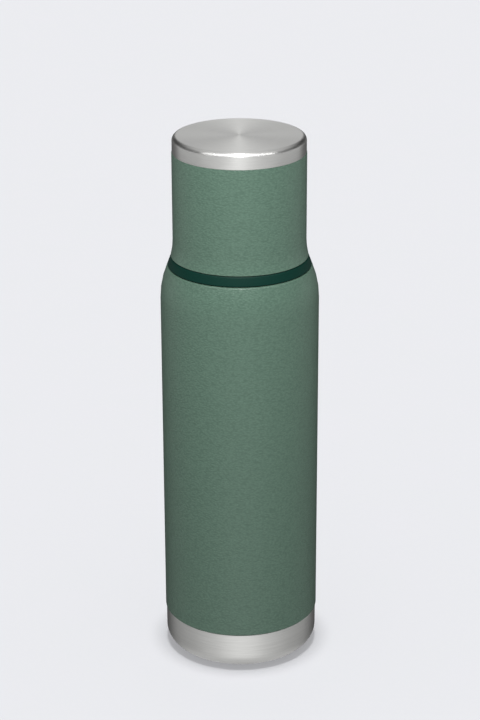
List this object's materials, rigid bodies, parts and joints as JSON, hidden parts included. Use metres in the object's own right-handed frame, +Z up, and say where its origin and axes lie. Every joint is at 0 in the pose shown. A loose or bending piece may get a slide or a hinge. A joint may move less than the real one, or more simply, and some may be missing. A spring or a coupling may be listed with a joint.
{
  "type": "vacuum flask",
  "caption": "Tall double-walled steel vacuum flask with a hammertone green coat, bare brushed base band, screw stopper with pouring knob, and a screw-on drinking cup.",
  "frame": {"origin": "centre of the foot, on the surface the flask stands on", "axes": "+Z up along the flask's axis, -Y towards the pouring window of the stopper's tube, +X to the right seen from -Y"},
  "size_m": [0.091, 0.091, 0.315],
  "materials": {
    "coat_green": "hammertone lacquer, satin",
    "brushed_steel": "brushed",
    "liner_steel": "satin, electropolished",
    "seal_metal": "fused sealing metal",
    "foil": "bright foil",
    "getter_metal": "pressed powder, matte",
    "silicone": "moulded, matte",
    "ring_plastic": "moulded, fine grain",
    "inner_plastic": "moulded, satin",
    "knob_plastic": "moulded, fine grain",
    "foam": "open-cell foam"
  },
  "bodies": {
    "flask": {"outer_shell": "coat_green", "base_cup": "brushed_steel", "base_disc": "brushed_steel", "evacuation_plug": "seal_metal", "inner_liner": "liner_steel", "liner_bottom": "liner_steel", "radiation_foil": "foil", "getter": "getter_metal", "getter_clip": "liner_steel"},
    "stopper_gasket": {"stopper_gasket": "silicone"},
    "stopper": {"stopper_body": "ring_plastic", "stopper_floor": "inner_plastic", "stopper_insulation": "foam", "pour_tube": "inner_plastic", "tube_o_ring": "silicone", "stem_guide": "inner_plastic"},
    "valve": {"valve_stem": "inner_plastic", "valve_washer": "silicone", "stem_pin": "liner_steel"},
    "knob": {"cam_sleeve": "inner_plastic", "pour_knob": "knob_plastic", "knob_cap": "knob_plastic", "knob_screws": "liner_steel"},
    "cup_seal": {"cup_seal": "silicone"},
    "cup": {"cup_shell": "coat_green", "cup_base": "brushed_steel", "cup_liner": "liner_steel", "cup_thread_ring": "inner_plastic"}
  },
  "joints": [
    {"name": "stopper_lift", "type": "slide", "parent": "flask", "child": "stopper_gasket", "axis": [0, 0, 1], "range_m": [0, 0.036]},
    {"name": "stopper_turn", "type": "hinge", "parent": "stopper_gasket", "child": "stopper", "pos_m": [0, 0, 0.2463], "axis": [0, 0, 1], "range_deg": [0, 720.5]},
    {"name": "cup_turn", "type": "hinge", "parent": "stopper", "child": "cup_seal", "pos_m": [0, 0, 0.2446], "axis": [0, 0, 1], "range_deg": [0, 1080.5]},
    {"name": "cup_lift", "type": "slide", "parent": "cup_seal", "child": "cup", "axis": [0, 0, 1], "range_m": [0, 0.054]},
    {"name": "knob_turn", "type": "hinge", "parent": "stopper", "child": "knob", "pos_m": [0, 0, 0.2484], "axis": [0, 0, 1], "range_deg": [0, 90.5]},
    {"name": "valve_lift", "type": "slide", "parent": "stopper", "child": "valve", "axis": [0, 0, 1], "range_m": [0, 0.004]}
  ],
  "couplings": [
    {"joint": "stopper_turn", "follows": "stopper_lift", "rad_per_m": 349.07},
    {"joint": "cup_turn", "follows": "cup_lift", "rad_per_m": 349.07},
    {"joint": "knob_turn", "follows": "valve_lift", "rad_per_m": 392.7}
  ]
}
